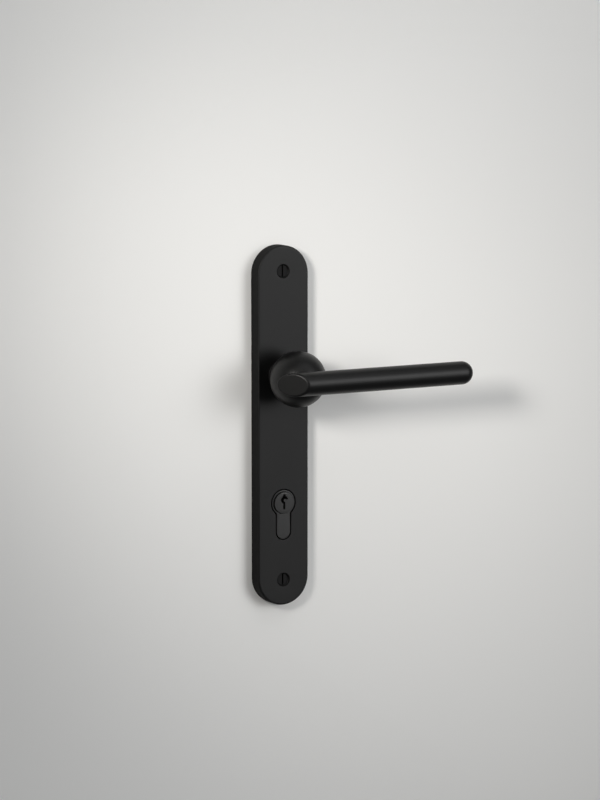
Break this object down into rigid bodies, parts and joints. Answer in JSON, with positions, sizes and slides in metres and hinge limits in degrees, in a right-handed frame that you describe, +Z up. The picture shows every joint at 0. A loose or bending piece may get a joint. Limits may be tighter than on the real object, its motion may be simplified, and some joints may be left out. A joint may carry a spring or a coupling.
{
  "type": "lever handle lockset",
  "caption": "Mortice lockset with ball-necked lever handles on long round-ended plates, euro profile cylinder, spring latch and deadbolt.",
  "frame": {"origin": "spindle axis on the outside plate's back face, which is the outside face of the door", "axes": "+X from the forend towards the levers' tips, +Y from the outside of the door to the inside, +Z up"},
  "size_m": [0.189, 0.1614, 0.24],
  "materials": {
    "black_coat": "satin black coating",
    "black_cylinder": "satin black plating",
    "black_oxide": "matt black oxide",
    "black_nylon": "black nylon",
    "stainless": "brushed along its length",
    "nickel_plate": "satin nickel plating",
    "zinc_plate": "bright zinc plating",
    "spindle_steel": "drawn steel",
    "spring_steel": "oiled spring wire",
    "sintered": "sintered, fine grain",
    "brass": "turned",
    "nylon": "natural nylon"
  },
  "bodies": {
    "lock_frame": {"outside_plate": "black_coat", "outside_bush": "black_nylon", "outside_spring_housing": "nylon", "outside_return_spring": "spring_steel", "inside_plate": "black_coat", "inside_bush": "black_nylon", "inside_spring_housing": "nylon", "inside_return_spring": "spring_steel", "fixing_screws": "black_oxide", "sleeve_nuts": "black_oxide", "case": "zinc_plate", "case_cover": "zinc_plate", "cover_screws": "zinc_plate", "forend": "stainless", "forend_screws": "stainless", "yoke_spring": "spring_steel", "yoke_guide_pin": "spindle_steel", "bolt_guide_pin": "spindle_steel", "bolt_detent_spring": "spring_steel", "cylinder_body": "black_cylinder", "cylinder_screw": "stainless", "driver_pins": "spindle_steel", "pin_springs": "spring_steel", "chamber_plugs": "brass"},
    "levers": {"outside_ball": "black_coat", "outside_bar": "black_coat", "outside_stud": "spindle_steel", "outside_grub_screw": "black_oxide", "outside_washer": "spindle_steel", "outside_circlip": "spring_steel", "outside_carrier": "zinc_plate", "inside_ball": "black_coat", "inside_bar": "black_coat", "inside_stud": "spindle_steel", "inside_grub_screw": "black_oxide", "inside_washer": "spindle_steel", "inside_circlip": "spring_steel", "inside_carrier": "zinc_plate", "spindle": "spindle_steel", "follower": "sintered"},
    "yoke": {"yoke": "zinc_plate", "latch_spring": "spring_steel"},
    "latch": {"latch_bolt": "nickel_plate", "latch_retainer": "zinc_plate"},
    "deadbolt": {"deadbolt": "nickel_plate"},
    "outside_key_set": {"outside_plug": "black_cylinder", "outside_plug_clip": "spring_steel", "outside_key_pins": "brass", "cam": "sintered", "clutch": "brass"},
    "inside_key_set": {"inside_plug": "black_cylinder", "inside_plug_clip": "spring_steel", "inside_key_pins": "brass"}
  },
  "joints": [
    {"name": "lever_turn", "type": "hinge", "parent": "lock_frame", "child": "levers", "pos_m": [0, 0, 0], "axis": [0, 1, 0], "range_deg": [0, 40], "stiffness_Nm_per_rad": 0.8, "springref_deg": -45.84, "deforming": ["outside_return_spring", "inside_return_spring"]},
    {"name": "latch_pull", "type": "slide", "parent": "lock_frame", "child": "yoke", "axis": [1, 0, 0], "range_m": [0, 0.011], "deforming": ["yoke_spring"]},
    {"name": "latch_push", "type": "slide", "parent": "yoke", "child": "latch", "axis": [1, 0, 0], "range_m": [0, 0.011], "stiffness_N_per_m": 300, "springref_m": -0.01, "deforming": ["latch_spring"]},
    {"name": "outside_plug_turn", "type": "hinge", "parent": "lock_frame", "child": "outside_key_set", "pos_m": [0, 0, -0.085], "axis": [0, -1, 0], "range_deg": [0, 360]},
    {"name": "deadbolt_throw", "type": "slide", "parent": "lock_frame", "child": "deadbolt", "axis": [-1, 0, 0], "range_m": [0, 0.014], "deforming": ["bolt_detent_spring"]},
    {"name": "inside_plug_turn", "type": "hinge", "parent": "lock_frame", "child": "inside_key_set", "pos_m": [0, 0.038, -0.085], "axis": [0, -1, 0], "range_deg": [0, 360]}
  ],
  "couplings": [
    {"joint": "latch_pull", "follows": "lever_turn", "m_per_rad": 0.0155},
    {"joint": "outside_plug_turn", "follows": "deadbolt_throw", "rad_per_m": 448.79}
  ]
}
